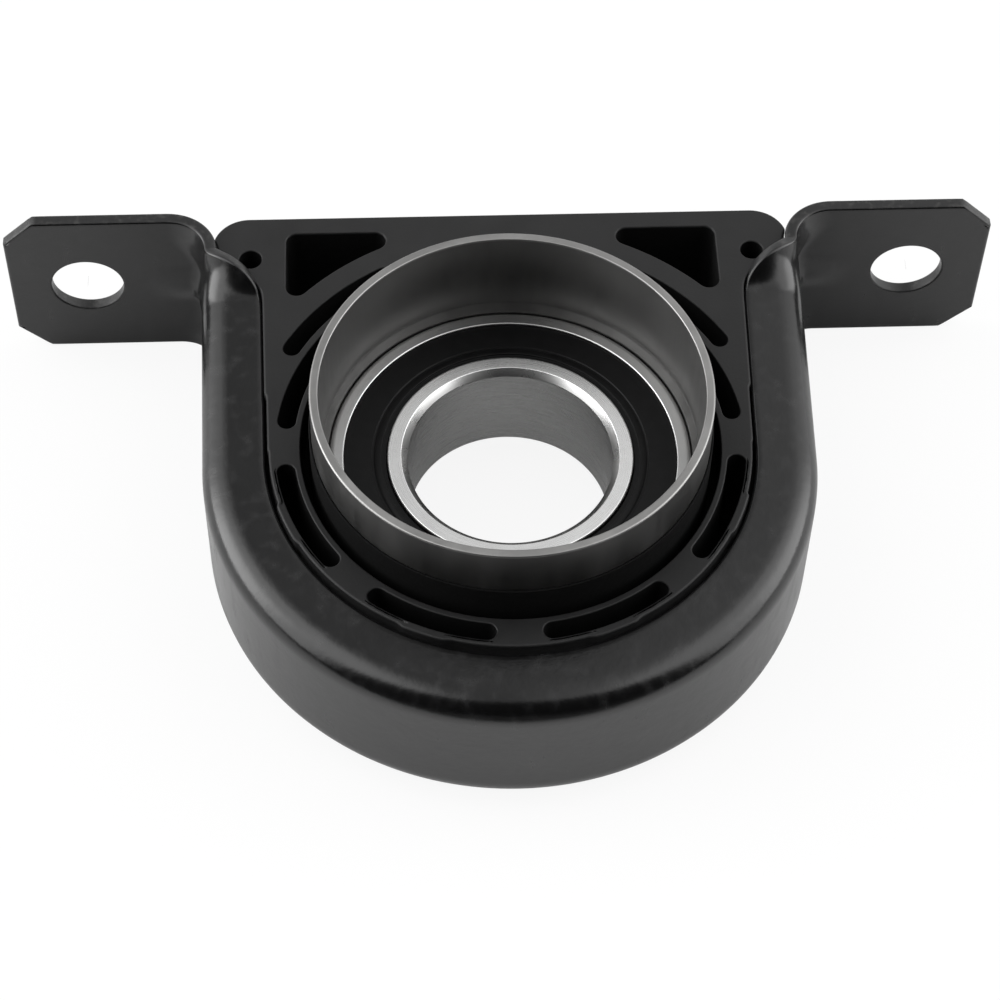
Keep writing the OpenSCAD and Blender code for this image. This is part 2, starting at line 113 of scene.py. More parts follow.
# %% A wire that can be added and multiplied
class Wire:
    """A socket of a node tree. Arithmetic on wires adds Math nodes to the tree."""

    def __init__(self, socket):
        self.socket, self.tree = socket, socket.id_data

    @staticmethod
    def node(tree, kind, settings=None, sockets=None, out=0):
        made = tree.nodes.new(kind)
        for name, value in (settings or {}).items():
            setattr(made, name, value)
        for name, value in (sockets or {}).items():
            if isinstance(value, Wire):
                tree.links.new(value.socket, made.inputs[name])
            else:
                made.inputs[name].default_value = value
        return Wire(made.outputs[out])

    def math(self, operation, *terms):
        sockets = dict(enumerate(terms))
        return Wire.node(self.tree, "ShaderNodeMath", {"operation": operation}, sockets)

    def __add__(self, other): return self.math("ADD", self, other)
    def __radd__(self, other): return self.math("ADD", other, self)
    def __sub__(self, other): return self.math("SUBTRACT", self, other)
    def __rsub__(self, other): return self.math("SUBTRACT", other, self)
    def __mul__(self, other): return self.math("MULTIPLY", self, other)
    def __rmul__(self, other): return self.math("MULTIPLY", other, self)
    def __truediv__(self, other): return self.math("DIVIDE", self, other)
    def __pow__(self, other): return self.math("POWER", self, other)
    def __abs__(self): return self.math("ABSOLUTE", self)
    def sin(self): return self.math("SINE", self)
    def cos(self): return self.math("COSINE", self)
    def sign(self): return self.math("SIGN", self)
    def least(self, other): return self.math("MINIMUM", self, other)
    def most(self, other): return self.math("MAXIMUM", self, other)

    def between(self, low, high, kind="SMOOTHSTEP"):
        """0 below low, 1 above high, and a smooth or straight step between them."""
        return Wire.node(self.tree, "ShaderNodeMapRange", {"interpolation_type": kind},
                         {"Value": self, "From Min": low, "From Max": high})

    def parts(self):
        made = Wire.node(self.tree, "ShaderNodeSeparateXYZ", {}, {0: self}).socket.node
        return [Wire(s) for s in made.outputs]


print("a wire knows", sum(name.startswith("__") for name in vars(Wire)), "special methods")

# %% [markdown]
# ## The studio
# The part lies on a white table between two tall soft boxes. Black paint and steel have hardly
# any colour of their own: what is seen on them is the room. So the room is painted on the world
# as a photographer would set it up: soft light from the left and the right, a dim wall behind
# that brightens to the right, and the dark room behind the camera, which draws the dark line
# along the strap's shoulder. Each box has a brighter core near the table, which gives the shine
# on the strap's flanks. The pairs of numbers say where along a direction a light starts and where
# it is full. The world is no lamp with an edge, so nothing is noisy.

# %% Light the room
WHITE = (1, 1, 1, 1)
LEFT_BOX, RIGHT_BOX, LEFT_CORE, RIGHT_CORE = 2.8, 2.4, 3.4, 2.0
DIM_WALL, PALE_WALL, DARK_ROOM = 0.32, 1.0, 0.03
PALE_FROM, DARK_FROM = (-0.12, 0.16), (0.40, 0.60)
LEFT_FROM, RIGHT_FROM = (0.06, 0.42), (0.18, 0.50)
BOX_FADES, BOX_LOSES = (0.30, 0.62), 0.45
CORE_FROM, CORE_ENDS, CORE_FADES_UP = (-0.25, 0.05), (0.30, 0.55), (0.45, 0.80)

world = bpy.data.worlds.new("room")
world.use_nodes = True
scene.world = world
tree = world.node_tree
tree.nodes.clear()
x, y, z = Wire.node(tree, "ShaderNodeTexCoord", out="Generated").parts()
behind = 1 - BOX_LOSES * y.between(*BOX_FADES)
wall = DIM_WALL + (PALE_WALL - DIM_WALL) * x.between(*PALE_FROM)
left, right = (-1 * x).between(*LEFT_FROM), x.between(*RIGHT_FROM)
core = y.between(*CORE_FROM) * (1 - y.between(*CORE_ENDS)) * (1 - z.between(*CORE_FADES_UP))
room = wall + left * (LEFT_BOX * behind + LEFT_CORE * core - wall) \
    + right * (RIGHT_BOX * behind + RIGHT_CORE * core - wall)
dark = (-1 * y).between(*DARK_FROM)
room = room + dark * (DARK_ROOM - room)
seen = Wire.node(tree, "ShaderNodeLightPath", out="Is Camera Ray")
sky = Wire.node(tree, "ShaderNodeBackground", {},
                {"Color": WHITE, "Strength": room + seen * (1 - room)})
ending = tree.nodes.new("ShaderNodeOutputWorld")
tree.links.new(sky.socket, ending.inputs["Surface"])
print("lit by a room of", len(tree.nodes), "nodes")

# %% [markdown]
# The table's white is given to the camera by the light path, so the room needn't overexpose it. A
# share of its real shading stays, which keeps the shadow, and reflections see more of that
# shading: under the part the table is dark, and that is what makes the slots and the bore deep.
# Reflections also see painted pools of light beside the boxes, as extra glow on the table, and
# painted shade on its unlit front, as a glow that is mostly dark. Where these start and where they
# are full is given in metres.

# %% Lay the table
TABLE_HALF, TABLE_GREY = 3.0, (0.70, 0.70, 0.70, 1)
GLOW_SEEN, GLOW_MIRRORED, GLOW_BESIDE, UNLIT, UNLIT_LOSES = 0.90, 0.05, 0.5, 0.85, 0.95
BESIDE_FROM, BESIDE_ENDS, UNLIT_FROM = (0.060, 0.130), (0.0, 0.040), (0.075, 0.115)
CORNERS = ((-1, -1), (1, -1), (1, 1), (-1, 1))

table = bpy.data.meshes.new("table")
floor_z = cad_box[0].z
table.from_pydata([(a * TABLE_HALF, b * TABLE_HALF, floor_z) for a, b in CORNERS],
                  [], [(0, 1, 2, 3)])
floor = bpy.data.objects.new("table", table)
scene.collection.objects.link(floor)
floor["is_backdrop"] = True

white = bpy.data.materials.new("table_white")
white.use_nodes = True
tree = white.node_tree
tree.nodes.clear()
path = tree.nodes.new("ShaderNodeLightPath")
mirrored = Wire(path.outputs["Is Glossy Ray"]).most(Wire(path.outputs["Is Transmission Ray"]))
x, y, _ = Wire.node(tree, "ShaderNodeTexCoord", out="Object").parts()
# Painted light and shade in reflections: glow pools beside the boxes, and a dim glow on the unlit
# front.
beside = abs(x).between(*BESIDE_FROM) * (1 - y.between(*BESIDE_ENDS))
unlit = (-1 * y).between(*UNLIT_FROM) * mirrored
shown = GLOW_SEEN * Wire(path.outputs["Is Camera Ray"]) \
    + (GLOW_MIRRORED + GLOW_BESIDE * beside) * mirrored + UNLIT * unlit
plain = Wire.node(tree, "ShaderNodeBsdfDiffuse", {}, {"Color": TABLE_GREY})
glow = Wire.node(tree, "ShaderNodeEmission", {},
                 {"Color": WHITE, "Strength": 1 - UNLIT_LOSES * unlit})
both = Wire.node(tree, "ShaderNodeMixShader", {}, {0: shown, 1: plain, 2: glow})
ending = tree.nodes.new("ShaderNodeOutputMaterial")
tree.links.new(both.socket, ending.inputs["Surface"])
table.materials.append(white)
print("table at", round(floor_z / MM, 2), "mm")

# %% [markdown]
# ## Helpers for finishes
# Every finish starts the same way: a Principled shader, and the piece's own coordinates in
# metres. A noise whose grain is given in millimetres is easier to judge against a photograph than
# a bare scale.

# %% Start a finish, and read grain in millimetres
def finish(name, **constants):
    """A material with constants on its shader's sockets, and its shader and Object coordinates."""
    material = bpy.data.materials.new(name)
    material.use_nodes = True
    shader = material.node_tree.nodes["Principled BSDF"]
    for socket, value in constants.items():
        shader.inputs[socket.replace("_", " ")].default_value = value
    return material, shader, Wire.node(material.node_tree, "ShaderNodeTexCoord", out="Object")


def plug(shader, **wires):
    """Links wires to the shader's sockets by name."""
    for socket, wire in wires.items():
        wire.tree.links.new(wire.socket, shader.inputs[socket.replace("_", " ")])


def grain(coords, size_mm, detail=2.0, stretch=(1, 1, 1)):
    """A cloudy value near 0.5 with spots of about size_mm, longer along an axis by its stretch."""
    scale = [1 / (size_mm * MM * s) for s in stretch]
    spread = Wire.node(coords.tree, "ShaderNodeVectorMath", {"operation": "MULTIPLY"},
                       {0: coords, 1: scale})
    return Wire.node(coords.tree, "ShaderNodeTexNoise", {},
                     {"Vector": spread, "Scale": 1.0, "Detail": detail})


def tint(factor, dark, light):
    """A colour between two, by a factor."""
    return Wire.node(factor.tree, "ShaderNodeMix", {"data_type": "RGBA"},
                     {0: factor, 6: (*dark, 1), 7: (*light, 1)}, out=2)


def relief(height, depth_mm):
    """A bump whose full height is depth_mm."""
    return Wire.node(height.tree, "ShaderNodeBump", {},
                     {"Height": height, "Distance": depth_mm * MM, "Strength": 1.0})


def rings(coords):
    """The distance from the bearing's axis minus the height: it changes across any turned face."""
    x, y, z = coords.parts()
    return (x * x + y * y) ** 0.5 - z


def fine_lines(coords, pitch_mm, length=40.0):
    """Fine marks that run round the axis, as a cutting tool or a grinding wheel leaves them."""
    x, y, _ = coords.parts()
    turned = Wire.node(coords.tree, "ShaderNodeCombineXYZ", {},
                       {0: rings(coords) / (pitch_mm * MM), 1: x / (pitch_mm * length * MM),
                        2: y / (pitch_mm * length * MM)})
    return Wire.node(coords.tree, "ShaderNodeTexNoise", {},
                     {"Vector": turned, "Scale": 1.0, "Detail": 3.0})


print("finish helpers ready")

# %% [markdown]
# ## Black paint
# The strap is dipped or sprayed in a satin black. Its own colour is almost nothing, so the look
# is all gloss: a slight orange peel bends the reflections, and handling has left cloudy patches
# and pale rub marks that are a little duller. The sheared edges take less paint, so they get a
# paler, rougher version.

# %% Make the paint
black_paint, shader, at = finish("black_paint", Specular_IOR_Level=0.5)
cloud = grain(at, 9, 4)
fleck = grain(at, 0.45, 1).between(0.68, 0.80)
scuff = grain(at, 2.4, 3, (1, 1, 4)).between(0.46, 0.84)
plug(shader,
     Base_Color=tint(fleck * 0.5 + scuff * 0.8, (0.0018, 0.0018, 0.0019),
                     (0.011, 0.011, 0.0113)),
     Roughness=0.17 + 0.10 * cloud + 0.08 * scuff,
     Normal=relief(0.9 * grain(at, 4.5, 3) + 0.5 * grain(at, 1.4, 2) + 0.12 * grain(at, 0.35, 1),
                   0.045))

cut_edge, shader, at = finish("cut_edge_paint", Specular_IOR_Level=0.42)
bare = grain(at, 1.2, 4).between(0.50, 0.74)
plug(shader,
     Base_Color=tint(bare, (0.0035, 0.0035, 0.0037), (0.022, 0.0217, 0.021)),
     Roughness=0.30 + 0.18 * grain(at, 0.8, 3),
     Normal=relief(grain(at, 0.5, 3, (1, 6, 1)), 0.03))
print("paint:", black_paint.name, cut_edge.name)

# %% [markdown]
# ## Rubber
# The cushion is moulded natural rubber, matt and slightly dusty with bloom. The walls of its slots,
# windows and groove get a duller version, and its blacker colour is painted shade for these deep
# recesses. The bearing's seals are a smoother nitrile with fine rings from their mould.

# %% Make the rubbers
cushion_rubber, shader, at = finish("cushion_rubber", Specular_IOR_Level=0.30)
bloom = grain(at, 7, 4)
dust = grain(at, 0.3, 2).between(0.60, 0.82)
plug(shader,
     Base_Color=tint(bloom * 0.7 + dust * 0.5, (0.0022, 0.0022, 0.0023),
                     (0.010, 0.010, 0.0103)),
     Roughness=0.44 + 0.16 * bloom,
     Normal=relief(grain(at, 0.5, 3) + 0.5 * grain(at, 3.0, 2), 0.02))

# Painted shade: the blacker colour of this copy stands in for the shade inside the slots, windows
# and groove.
painted_shade_rubber, shader, at = finish("painted_shade_rubber", Specular_IOR_Level=0.12)
plug(shader,
     Base_Color=tint(grain(at, 2.5, 3), (0.0010, 0.0010, 0.0010),
                     (0.0030, 0.0030, 0.0031)),
     Roughness=0.70 + 0.20 * grain(at, 0.8, 3),
     Normal=relief(grain(at, 0.6, 3), 0.02))

seal_rubber, shader, at = finish("seal_rubber", Specular_IOR_Level=0.16)
mould_rings = fine_lines(at, 0.25)
plug(shader,
     Base_Color=tint(grain(at, 2.0, 3), (0.0015, 0.0015, 0.0016), (0.005, 0.005, 0.0052)),
     Roughness=0.34 + 0.12 * mould_rings,
     Normal=relief(mould_rings, 0.008))
print("rubber:", cushion_rubber.name, painted_shade_rubber.name, seal_rubber.name)

# %% [markdown]
# ## Steels
# The sleeve is drawn tube, oiled and dark with brighter turned end faces. It could take one plain
# grey, but the stretched grain and the stains are what tell drawn steel from paint.

# %% Make the sleeve's steel
SLEEVE_FRONT, RIM_STARTS, RIM_FULL = 28.5, 0.5, 0.2
sleeve_steel, shader, at = finish("sleeve_steel", Metallic=1.0)
height = at.parts()[2]
rim = height.between((SLEEVE_FRONT - RIM_STARTS) * MM, (SLEEVE_FRONT - RIM_FULL) * MM)
stain = grain(at, 8, 5, (1, 1, 2.5)).between(0.35, 0.75)
drawn = grain(at, 1.1, 3, (1, 1, 22))
tooled = fine_lines(at, 0.16)
plug(shader,
     Base_Color=tint(rim * 0.72 + stain * 0.16 + drawn * 0.10, (0.125, 0.124, 0.122),
                     (0.29, 0.287, 0.282)),
     Roughness=0.34 + 0.10 * stain + 0.12 * drawn - 0.06 * rim,
     Normal=relief(tooled + 0.7 * drawn, 0.006))
print("steel:", sleeve_steel.name)

# %% [markdown]
# The races are hardened and ground: much brighter, with very fine marks round the axis. Inside its
# bore the inner race's colour is darkened as painted shade for the deep bore. The ball and cage
# steels are inside, where only a cut would show them. One function makes all four, since only their
# colours and gloss differ.

# %% Make the ground steels
SHADED_BORE, BORE_SHADE_FADES, SHADE_IN_BORE = 17.6, 1.0, 0.15


def ground_steel(name, dark, light, gloss, bore=0.0):
    """Hardened and ground steel with fine marks round the axis, and painted shade inside the bore's
    radius.
    """
    material, shader, at = finish(name, Metallic=1.0)
    marks = fine_lines(at, 0.11, 60)
    mottle = grain(at, 5, 4)
    x, y, _ = at.parts()
    from_axis = (x * x + y * y) ** 0.5
    # Painted shade: the colour is darkened inside the bore's radius.
    unshaded = SHADE_IN_BORE + (1 - SHADE_IN_BORE) * from_axis.between(bore * MM, (bore + BORE_SHADE_FADES) * MM)
    plug(shader,
         Base_Color=tint((0.6 + 0.2 * marks + 0.2 * mottle) * unshaded, dark, light),
         Roughness=gloss + 0.10 * marks + 0.05 * mottle,
         Normal=relief(marks, 0.004))
    return material


race_steel = ground_steel("race_steel", (0.36, 0.36, 0.357), (0.82, 0.82, 0.815), 0.20, SHADED_BORE)
outer_steel = ground_steel("outer_race_steel", (0.32, 0.32, 0.318), (0.56, 0.56, 0.556), 0.22)
ball_steel = ground_steel("ball_steel", (0.54, 0.54, 0.54), (0.70, 0.70, 0.70), 0.10)
cage_steel = ground_steel("cage_steel", (0.28, 0.26, 0.23), (0.52, 0.50, 0.46), 0.34)
print("steel:", race_steel.name, outer_steel.name, ball_steel.name, cage_steel.name)

# %% [markdown]
# ## Helpers for Geometry Nodes
# A tree made in Python needs its sockets declared before anything can be linked. The modifier is
# given its sizes by the sockets' identifiers, and the result is turned into a plain mesh, because
# that is what rides on a body.

# %% Build, grow and freeze
def geometry_tree(name, sizes):
    """A tree with a geometry, named sizes and a finish as its inputs."""
    tree = bpy.data.node_groups.new(name, "GeometryNodeTree")
    tree.interface.new_socket("Geometry", in_out="INPUT", socket_type="NodeSocketGeometry")
    for size in sizes:
        tree.interface.new_socket(size, in_out="INPUT", socket_type="NodeSocketFloat")
    tree.interface.new_socket("Finish", in_out="INPUT", socket_type="NodeSocketMaterial")
    tree.interface.new_socket("Geometry", in_out="OUTPUT", socket_type="NodeSocketGeometry")
    return tree, {s.name: Wire(s) for s in tree.nodes.new("NodeGroupInput").outputs if s.name}


def close_tree(tree, mesh, given):
    """Ends a tree with smooth faces, real geometry and the finish."""
    mesh = Wire.node(tree, "GeometryNodeSetShadeSmooth", {}, {"Geometry": mesh})
    mesh = Wire.node(tree, "GeometryNodeRealizeInstances", {}, {"Geometry": mesh})
    mesh = Wire.node(tree, "GeometryNodeSetMaterial", {},
                     {"Geometry": mesh, "Material": given["Finish"]})
    tree.links.new(mesh.socket, tree.nodes.new("NodeGroupOutput").inputs["Geometry"])


def grow(name, tree, values, base=None):
    """An object whose mesh the tree makes from the given sizes."""
    piece = bpy.data.objects.new(name, base or bpy.data.meshes.new(name))
    scene.collection.objects.link(piece)
    shape = piece.modifiers.new("shape", "NODES")
    shape.node_group = tree
    for item in tree.interface.items_tree:
        if item.in_out == "INPUT" and item.name in values:
            shape[item.identifier] = values[item.name]
    return piece


def freeze(piece):
    """Turns a piece and its modifiers into a plain mesh."""
    live = bpy.context.evaluated_depsgraph_get()
    mesh = bpy.data.meshes.new_from_object(piece.evaluated_get(live), depsgraph=live)
    piece.modifiers.clear()
    old, piece.data = piece.data, mesh
    bpy.data.meshes.remove(old)
    mesh.name = piece.name
    return piece


def dress(piece, body, slot, *nodes):
    """The piece rides on a body and stands for CAD nodes, which it hides; slot is not used."""
    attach(piece, body)
    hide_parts(*nodes)
    mesh = piece.data
    mesh.calc_loop_triangles()
    print(piece.name, len(mesh.vertices), "points,", len(mesh.loop_triangles), "triangles")


print("geometry helpers ready")

# %% [markdown]
# ## Rounded outlines
# No real edge is sharp: a small radius is what catches the light and tells steel from rubber.
# Each turned piece and each cut in the rubber starts as a short list of corners with a radius
# each, and this helper turns every corner into an arc. Two extra points beside each arc keep the
# smooth shading off the flat faces.

# %% Round the corners of an outline
ARC_STEPS, BESIDE, MOST_OF_SIDE, A_LITTLE_MORE = 5, 0.06, 0.45, 1.05


def rounded(corners, closed=True):
    """Points in mm along an outline of (a, b, radius) corners, with an arc for each radius."""
    points, count = [], len(corners)
    for i, (a, b, radius) in enumerate(corners):
        here = Vector((a, b))
        if radius == 0 or (not closed and i in (0, count - 1)):
            points.append(here)
            continue
        to_last = Vector(corners[i - 1][:2]) - here
        to_next = Vector(corners[(i + 1) % count][:2]) - here
        room = MOST_OF_SIDE * min(to_last.length, to_next.length)
        to_last.normalize()
        to_next.normalize()
        half = to_last.angle(to_next) / 2
        run = min(radius / math.tan(half), room)
        radius = run * math.tan(half)
        middle = here + (to_last + to_next).normalized() * (radius / math.sin(half))
        first, last = here + to_last * run - middle, here + to_next * run - middle
        swing = first.angle_signed(last)
        points.append(here + to_last * min(run + BESIDE, A_LITTLE_MORE * room))
        for k in range(ARC_STEPS + 1):
            turned = -swing * k / ARC_STEPS
            c, s = math.cos(turned), math.sin(turned)
            points.append(middle + Vector((c * first.x - s * first.y, s * first.x + c * first.y)))
        points.append(here + to_next * min(run + BESIDE, A_LITTLE_MORE * room))
    return points


square = rounded([(0, 0, 1), (4, 0, 1), (4, 4, 1), (0, 4, 1)])
print("a rounded square has", len(square), "points")

# %% [markdown]
# ## The strap
# The strap is one sheet of steel: a channel bent into a U, whose curled edges unroll near the top
# so that the sheet can fold outwards into two flat ears. It could be modelled as a tube of
# extrusions, but it follows a rule: every cross-section is the same sheet with more or less curl,
# carried along one path. So a flat grid is given that rule in Geometry Nodes. One direction of
# the grid counts along the path, through arc, leg, run-out, bend and ear, and the other counts
# across the sheet. The sizes that start as 0 follow from the others and are worked out below.

# %% Collect the strap's sizes
STEPS = {"arc": 120, "leg": 24, "runout": 52, "bend": 22, "ear": 40}
ROWS, CLOSER = 28, 1.5
STRAP_SIZES = {
    "Strap radius": 52.4, "Straight leg": 0, "Run-out": 22.0, "Bend radius": 2.6,
    "Edge bend": 6.0, "Ear length": 0, "Ear chamfer": 5.6, "Web half": 9.5,
    "Shoulder radius": 4.5, "Channel reach": 0, "Ear half": 17.25, "Gusset depth": 1.4,
    "Gusset width": 10.5, "Gusset reach": 9.0, "Strap middle": -1.5, "Front spare": 3.0,
}
STRAP_ANGLES = {"Leg splay": math.radians(1.5), "Bend curl": math.radians(7)}
SHEET, EAR_HEIGHT, EAR_OUT, CURL_DEPTH = 2.3, 50.6, 89.0, 10.8
HOLE_SPACING, HOLE_D = 150.0, 13.0
QUARTER = math.pi / 2

splay, strap_r, bend_r = (STRAP_ANGLES["Leg splay"], STRAP_SIZES["Strap radius"],
                          STRAP_SIZES["Bend radius"])
leg_foot = Vector((strap_r * math.cos(splay), -strap_r * math.sin(splay)))
leg_dir = Vector((math.sin(splay), math.cos(splay)))
bend_y = EAR_HEIGHT - SHEET - bend_r + bend_r * math.sin(splay)
leg_len = (bend_y - leg_foot.y) / leg_dir.y
bend_start = leg_foot + leg_len * leg_dir
STRAP_SIZES["Straight leg"] = leg_len - STRAP_SIZES["Run-out"]
STRAP_SIZES["Ear length"] = EAR_OUT - (bend_start.x + bend_r * math.cos(splay))
STRAP_SIZES["Channel reach"] = STRAP_SIZES["Web half"] + STRAP_SIZES["Shoulder radius"] * QUARTER \
    + CURL_DEPTH - STRAP_SIZES["Shoulder radius"]
print("straight leg", round(STRAP_SIZES["Straight leg"], 2), "mm, ear",
      round(STRAP_SIZES["Ear length"], 2), "mm")

# %% [markdown]
# The path lies in the plane of the U. Each stretch of it has a share that runs from 0 to 1, so
# adding up the stretches gives the place, and adding up their turns gives the heading.

# %% Write the strap's path
def strap_path(given, share):
    """The path's place, the sheet's heading, its turn from upright and the way out on the ear."""
    lean = given["Leg splay"]
    arc, fold = share["arc"] * (QUARTER - lean), (QUARTER - lean) * share["bend"]
    straight = given["Straight leg"] * share["leg"] + given["Run-out"] * share["runout"]
    ear = given["Ear length"] * share["ear"]
    path_x = given["Strap radius"] * arc.sin() + straight * lean.sin() + ear \
        + given["Bend radius"] * (lean.cos() - (lean + fold).cos())
    path_y = given["Bend radius"] * ((lean + fold).sin() - lean.sin()) + straight * lean.cos() \
        - given["Strap radius"] * arc.cos()
    return path_x, path_y, QUARTER - arc + fold, lean + fold, ear


print("the path has", len(STEPS), "stretches and", sum(STEPS.values()), "steps on each side")

# %% [markdown]
# Across the sheet, a flat web ends in two shoulders with a curled edge each. The curl opens over
# the last part of the run-out. The shoulder's radius grows as it opens, as a press leaves it, and
# the sheet's width follows late. The rear edge is held in line with the ear, and the front edge
# may stand out a little. A gusset is pressed into the fold. The sheet's edges fold in a wider
# bend than its middle does, so they slide a little on the path.

# %% Write the strap's section
UNCURL, WIDEN, OPENING, NEARLY_SQUARE, ON_FLAT = 0.545, 5.0, 1.5, 0.05, 0.8


def strap_section(given, share, over, ear):
    """How far a point of the sheet lies inside the path, and how far from the strap's middle."""
    uncurl = (1 - (1 - share["runout"]) / UNCURL).between(0.0, 1.0)
    curl = QUARTER - (QUARTER - given["Bend curl"]) * uncurl \
        - given["Bend curl"] * share["bend"].between(0.0, 1.0)
    widen = share["runout"].between(0.0, 1.0) ** WIDEN
    cut = (ear - given["Ear length"] + given["Ear chamfer"]).most(0.0)
    shoulder = given["Shoulder radius"] * (1 + OPENING * uncurl)
    still_flat = given["Ear half"] - given["Web half"] - shoulder * curl.sin()
    in_line = given["Web half"] + shoulder * curl + still_flat / curl.cos().most(NEARLY_SQUARE)
    reach = given["Channel reach"] + (given["Ear half"] - given["Channel reach"]) * widen
    reach = reach.least(in_line + given["Front spare"] * over.sign().most(0.0)) - cut
    way = (abs(over) / ROWS) ** CLOSER * reach
    beyond = (way - given["Web half"]).most(0.0)
    bent = (beyond / shoulder).least(curl)
    flat = (beyond - shoulder * curl).most(0.0)
    inward = shoulder * (1 - bent.cos()) + flat * curl.sin()
    outward = way.least(given["Web half"]) + shoulder * bent.sin() + flat * curl.cos()
    return inward, outward


def gusset(given, share, outward, ear):
    """How deep the gusset is pressed at a point of the sheet."""
    to_bend = (1 - share["runout"]) * given["Run-out"]
    on_leg = (1 - to_bend / given["Gusset reach"]).between(0.0, 1.0)
    on_ear = (1 - ear / given["Gusset reach"]).between(0.0, 1.0)
    on_bend = (math.pi * share["bend"]).sin()
    dent = given["Gusset depth"] * (ON_FLAT * on_leg * on_ear + (1 - ON_FLAT) * on_bend)
    ridge = (outward * 2 / given["Gusset width"]).least(1.0)
    return dent * (1 + (ridge * math.pi).cos()) / 2


def wider_bend(given, share, outward, leaning, ear):
    """How far the sheet's edge slides, because its bend is wider than the middle's."""
    lean = given["Leg splay"]
    tangent = (1 - lean.sin()) / lean.cos()
    rest = (1 - ear / given["Gusset reach"]).most(0.0)
    edge = outward.between(given["Gusset width"] / 2, given["Web half"] + given["Shoulder radius"])
    slide = edge * share["runout"] * (given["Edge bend"] - given["Bend radius"])
    return slide * (tangent * rest - leaning.cos()), slide * (leaning.sin() - 1)


print("the curl opens over", round(UNCURL * STRAP_SIZES["Run-out"], 1), "mm of the run-out")

# %% [markdown]
# The tree puts both together: it reads the grid's own places as counts along and across, and
# moves every point to where the rule wants it.

# %% Write the strap's rule
def strap_tree():
    tree, given = geometry_tree("strap", [*STRAP_SIZES, *STRAP_ANGLES])
    total = sum(STEPS.values())
    grid = Wire.node(tree, "GeometryNodeMeshGrid", {}, {
        "Size X": 2.0 * total, "Size Y": 2.0 * ROWS,
        "Vertices X": 2 * total + 1, "Vertices Y": 2 * ROWS + 1})
    along, over, _ = Wire.node(tree, "GeometryNodeInputPosition").parts()
    share, start = {}, 0
    for part, count in STEPS.items():
        share[part] = abs(along).between(float(start), float(start + count), "LINEAR")
        start += count
    path_x, path_y, heading, leaning, ear = strap_path(given, share)
    inward, outward = strap_section(given, share, over, ear)
    inward = inward - gusset(given, share, outward, ear)
    slide_x, slide_y = wider_bend(given, share, outward, leaning, ear)
    path_x, path_y = path_x + slide_x, path_y + slide_y
    place = Wire.node(tree, "ShaderNodeCombineXYZ", {}, {
        0: along.sign() * (path_x - inward * heading.cos()), 1: path_y + inward * heading.sin(),
        2: given["Strap middle"] + over.sign() * outward})
    bent_sheet = Wire.node(tree, "GeometryNodeSetPosition", {},
                           {"Geometry": grid, "Position": place})
    close_tree(tree, bent_sheet, given)
    return tree


strap_rule = strap_tree()
print("the strap's rule has", len(strap_rule.nodes), "nodes")

# %% [markdown]
# ## Turned pieces
# The sleeve, both races and the seals are all the same kind of thing: an outline carried round
# the bearing's axis. A second, very small tree does that, by sweeping the outline along a circle.

# %% Write the turning rule
TURN_STEPS, TURN_RADIUS = 288, 25.0


def turning_tree():
    tree, given = geometry_tree("turned", ["Circle radius"])
    ring = Wire.node(tree, "GeometryNodeCurvePrimitiveCircle", {},
                     {"Resolution": TURN_STEPS, "Radius": given["Circle radius"]})
    outline = Wire.node(tree, "GeometryNodeMeshToCurve", {}, {0: given["Geometry"]})
    swept = Wire.node(tree, "GeometryNodeCurveToMesh", {},
                      {"Curve": ring, "Profile Curve": outline})
    close_tree(tree, swept, given)
    return tree


turning_rule = turning_tree()


def sweep(name, points, material):
    """A piece swept from points (radius, height) in mm, clockwise as seen with the height up."""
    outline = bpy.data.meshes.new(name)
    outline.from_pydata([((r - TURN_RADIUS) * MM, -z * MM, 0) for r, z in points],
                        [(i, (i + 1) % len(points)) for i in range(len(points))], [])
    values = {"Circle radius": TURN_RADIUS * MM, "Finish": material}
    return freeze(grow(name, turning_rule, values, outline))


def turn(name, corners, material):
    """A piece turned from corners (radius, height, rounding) in mm."""
    return sweep(name, rounded(corners), material)


print("the turning rule has", len(turning_rule.nodes), "nodes")

# %% [markdown]
# ## Bending and punching the strap
# The grid gives only the outer skin. Solidify makes it a sheet, with the paler paint on its rim,
# and Bevel softens the sheared edges.

# %% Make the strap
EDGE_ROUND, EDGE_SEGMENTS, EDGE_ANGLE = 0.5, 4, 50
strap_values = {size: value * MM for size, value in STRAP_SIZES.items()}
strap_values.update(STRAP_ANGLES, Finish=black_paint)
strap = freeze(grow("strap", strap_rule, strap_values))
strap.data.materials.clear()
for paint in (black_paint, cut_edge):
    strap.data.materials.append(paint)
strap.data.polygons.foreach_set("material_index", [0] * len(strap.data.polygons))
sheet = strap.modifiers.new("sheet", "SOLIDIFY")
sheet.thickness, sheet.offset = SHEET * MM, -1
sheet.material_offset_rim = 1
soften = strap.modifiers.new("sheared_edges", "BEVEL")
soften.width, soften.segments, soften.use_clamp_overlap = EDGE_ROUND * MM, EDGE_SEGMENTS, False
soften.limit_method, soften.angle_limit = "ANGLE", math.radians(EDGE_ANGLE)
print("the sheet is", SHEET, "mm thick, with edges rounded by", EDGE_ROUND, "mm")

# %% [markdown]
# The bolt holes are punched by a turned cutter whose ends flare, so the holes get their own
# rounded rims. The punch leaves some very short edges, which are merged at the end.

